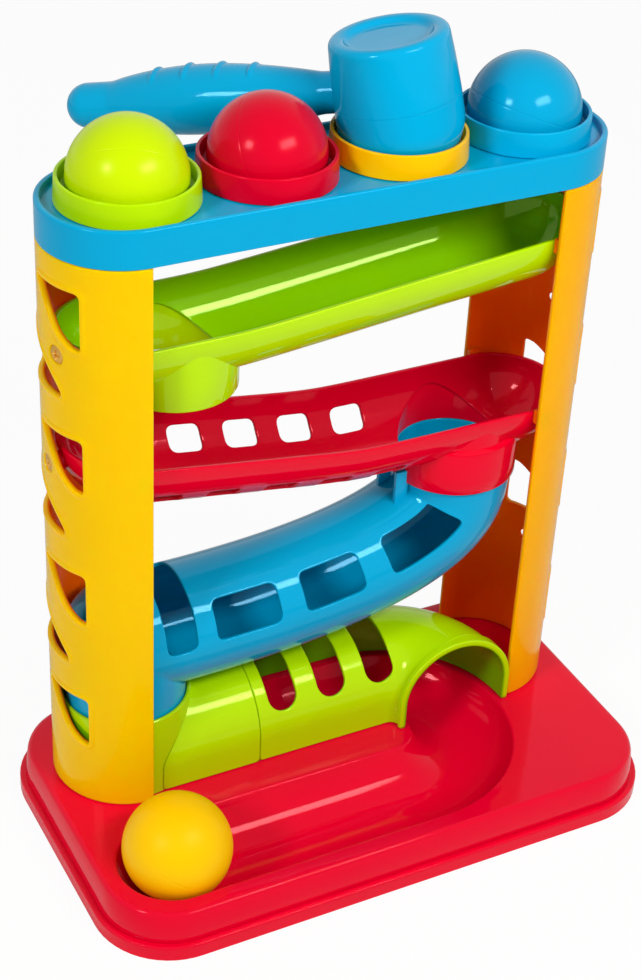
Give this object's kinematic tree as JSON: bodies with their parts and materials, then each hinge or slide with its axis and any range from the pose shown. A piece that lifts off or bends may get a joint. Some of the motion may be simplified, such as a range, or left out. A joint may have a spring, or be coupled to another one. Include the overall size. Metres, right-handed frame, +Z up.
{
  "type": "ball pounding bench",
  "caption": "Upright toy: hammered balls drop through soft rings in a deck, roll down troughs and a curved tube to a tray in the base.",
  "frame": {"origin": "on the floor, under the middle of the deck, midway between the two posts", "axes": "+Z up, +X along the deck towards the right post, +Y to the rear, away from the tray"},
  "size_m": [0.255, 0.194, 0.3347],
  "materials": {
    "red": "gloss",
    "orange": "gloss",
    "blue": "gloss",
    "lime": "gloss",
    "yellow": "gloss",
    "soft_lime": "satin",
    "soft_red": "satin",
    "soft_orange": "satin",
    "soft_blue": "satin",
    "steel": "satin"
  },
  "bodies": {
    "tower": {"base_tray": "red", "post_left": "orange", "post_right": "orange", "deck": "blue", "ring_lime": "soft_lime", "ring_red": "soft_red", "ring_orange": "soft_orange", "ring_blue": "soft_blue", "trough_top": "lime", "trough_middle": "red", "tube_curved": "blue", "tunnel_collar": "lime", "tunnel_elbow": "lime", "screw_top": "steel", "screw_middle": "steel"},
    "ball_lime": {"ball_lime": "lime"},
    "ball_red": {"ball_red": "red"},
    "ball_blue": {"ball_blue": "blue"},
    "ball_yellow": {"ball_yellow": "yellow"},
    "hammer": {"hammer_face": "blue", "hammer_head": "blue", "hammer_handle": "blue"}
  },
  "joints": [
    {"name": "ball_lime_drop", "type": "slide", "parent": "tower", "child": "ball_lime", "axis": [0, 0, 1], "range_m": [-0.0597, 0.06], "deforming": ["ring_lime"]},
    {"name": "ball_red_drop", "type": "slide", "parent": "tower", "child": "ball_red", "axis": [0, 0, 1], "range_m": [-0.058, 0.06], "deforming": ["ring_red"]},
    {"name": "ball_blue_drop", "type": "slide", "parent": "tower", "child": "ball_blue", "axis": [0, 0, 1], "range_m": [-0.0464, 0.06], "deforming": ["ring_blue"]},
    {"name": "ball_yellow_lift", "type": "slide", "parent": "tower", "child": "ball_yellow", "axis": [0, 0, 1], "range_m": [0, 0.06]},
    {"name": "hammer_lift", "type": "slide", "parent": "tower", "child": "hammer", "axis": [-0.153, 0.1407, 0.9782], "range_m": [0, 0.06]}
  ]
}
